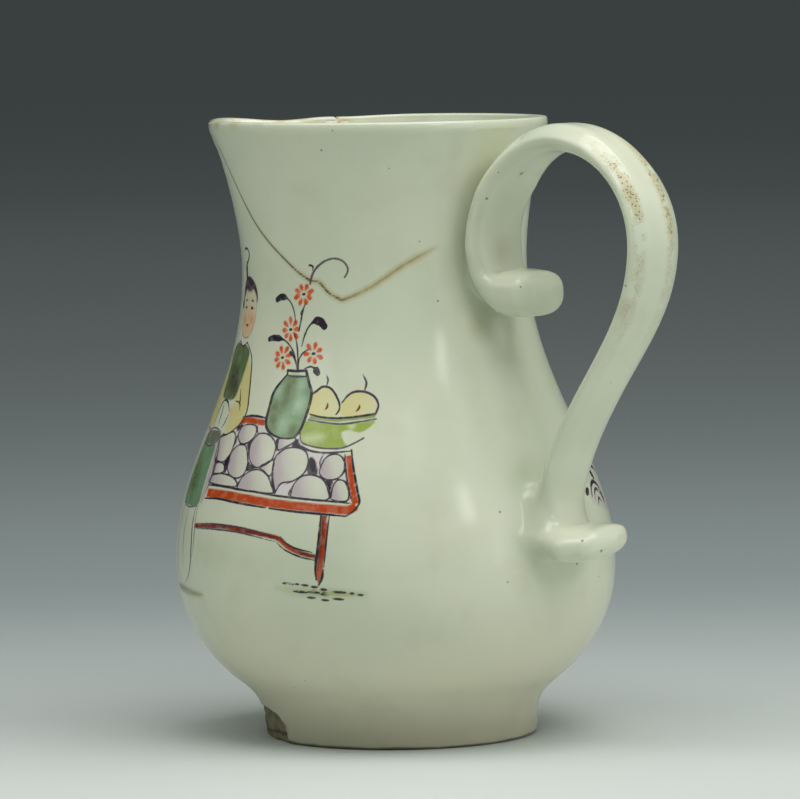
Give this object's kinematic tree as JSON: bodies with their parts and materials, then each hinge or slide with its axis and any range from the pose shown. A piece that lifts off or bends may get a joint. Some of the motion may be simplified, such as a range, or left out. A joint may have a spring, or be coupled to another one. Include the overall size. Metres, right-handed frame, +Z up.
{
  "type": "sparrow beak jug",
  "caption": "Small pear-shaped porcelain cream jug with a V-shaped pouring lip and a looped strap handle with kicked ends; holds and pours milk or cream.",
  "frame": {"origin": "under the middle of the whole length, in the plane the foot ring stands on", "axes": "+Z up; -X towards the beak, +X towards the handle; XZ is the plane of symmetry"},
  "size_m": [0.084, 0.0644, 0.0904],
  "materials": {
    "glazed_porcelain": "soft-paste porcelain under a glossy grey-green white glaze, painted over the glaze in enamels"
  },
  "bodies": {
    "root": {"jug": "glazed_porcelain"}
  },
  "joints": []
}
